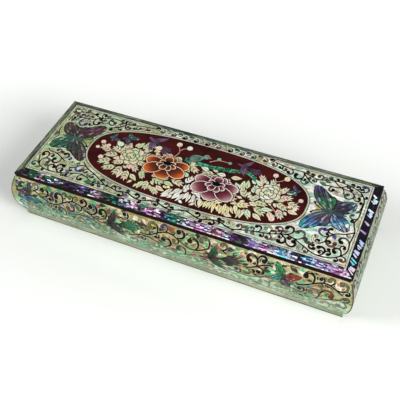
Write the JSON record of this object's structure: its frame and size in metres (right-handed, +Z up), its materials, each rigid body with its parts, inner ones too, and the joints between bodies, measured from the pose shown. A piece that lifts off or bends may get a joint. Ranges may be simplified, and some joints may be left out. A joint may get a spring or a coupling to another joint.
{
  "type": "lacquer brush box",
  "caption": "Long lacquered brush box with swelling shell-faced sides on a low plinth and a hinged flat lid with an oval peony medallion.",
  "frame": {"origin": "centre of the footprint, on the surface that the box stands on", "axes": "+X along the length to the right, -Y to the front, +Z up"},
  "size_m": [0.3278, 0.1208, 0.0592],
  "materials": {
    "lacquered_wood": "dark red-brown gloss lacquer on wood",
    "wall_shell": "mother-of-pearl sheet with dark scrolls under clear lacquer",
    "plinth_shell": "wood faced with plain grey-green shell",
    "field_shell": "pale mother-of-pearl sheet with scrolling vine",
    "bevel_shell": "cut strips of abalone shell under clear lacquer",
    "ring_shell": "pale shell outline",
    "red_lacquer": "deep red gloss lacquer",
    "velvet": "short-pile wine red velvet on card",
    "brass": "satin brass"
  },
  "bodies": {
    "box": {"front_wall": "lacquered_wood", "back_wall": "lacquered_wood", "left_wall": "lacquered_wood", "right_wall": "lacquered_wood", "front_pearl": "wall_shell", "back_pearl": "wall_shell", "left_pearl": "wall_shell", "right_pearl": "wall_shell", "plinth_front": "plinth_shell", "plinth_back": "plinth_shell", "plinth_left": "plinth_shell", "plinth_right": "plinth_shell", "floor_panel": "lacquered_wood", "floor_lining": "velvet", "front_lining": "velvet", "back_lining": "velvet", "left_lining": "velvet", "right_lining": "velvet", "left_hinge_body_leaf": "brass", "right_hinge_body_leaf": "brass", "left_hinge_pin": "brass", "right_hinge_pin": "brass", "body_leaf_screws": "brass"},
    "lid": {"lid_panel": "lacquered_wood", "lid_field": "field_shell", "medallion": "red_lacquer", "medallion_ring": "ring_shell", "bevel_front": "bevel_shell", "bevel_back": "bevel_shell", "bevel_left": "bevel_shell", "bevel_right": "bevel_shell", "lid_liner": "velvet", "left_hinge_lid_leaf": "brass", "right_hinge_lid_leaf": "brass", "lid_leaf_screws": "brass"}
  },
  "joints": [
    {"name": "lid_hinge", "type": "hinge", "parent": "box", "child": "lid", "pos_m": [0, 0.05415, 0.05395], "axis": [-1, 0, 0], "range_deg": [0, 98]}
  ]
}
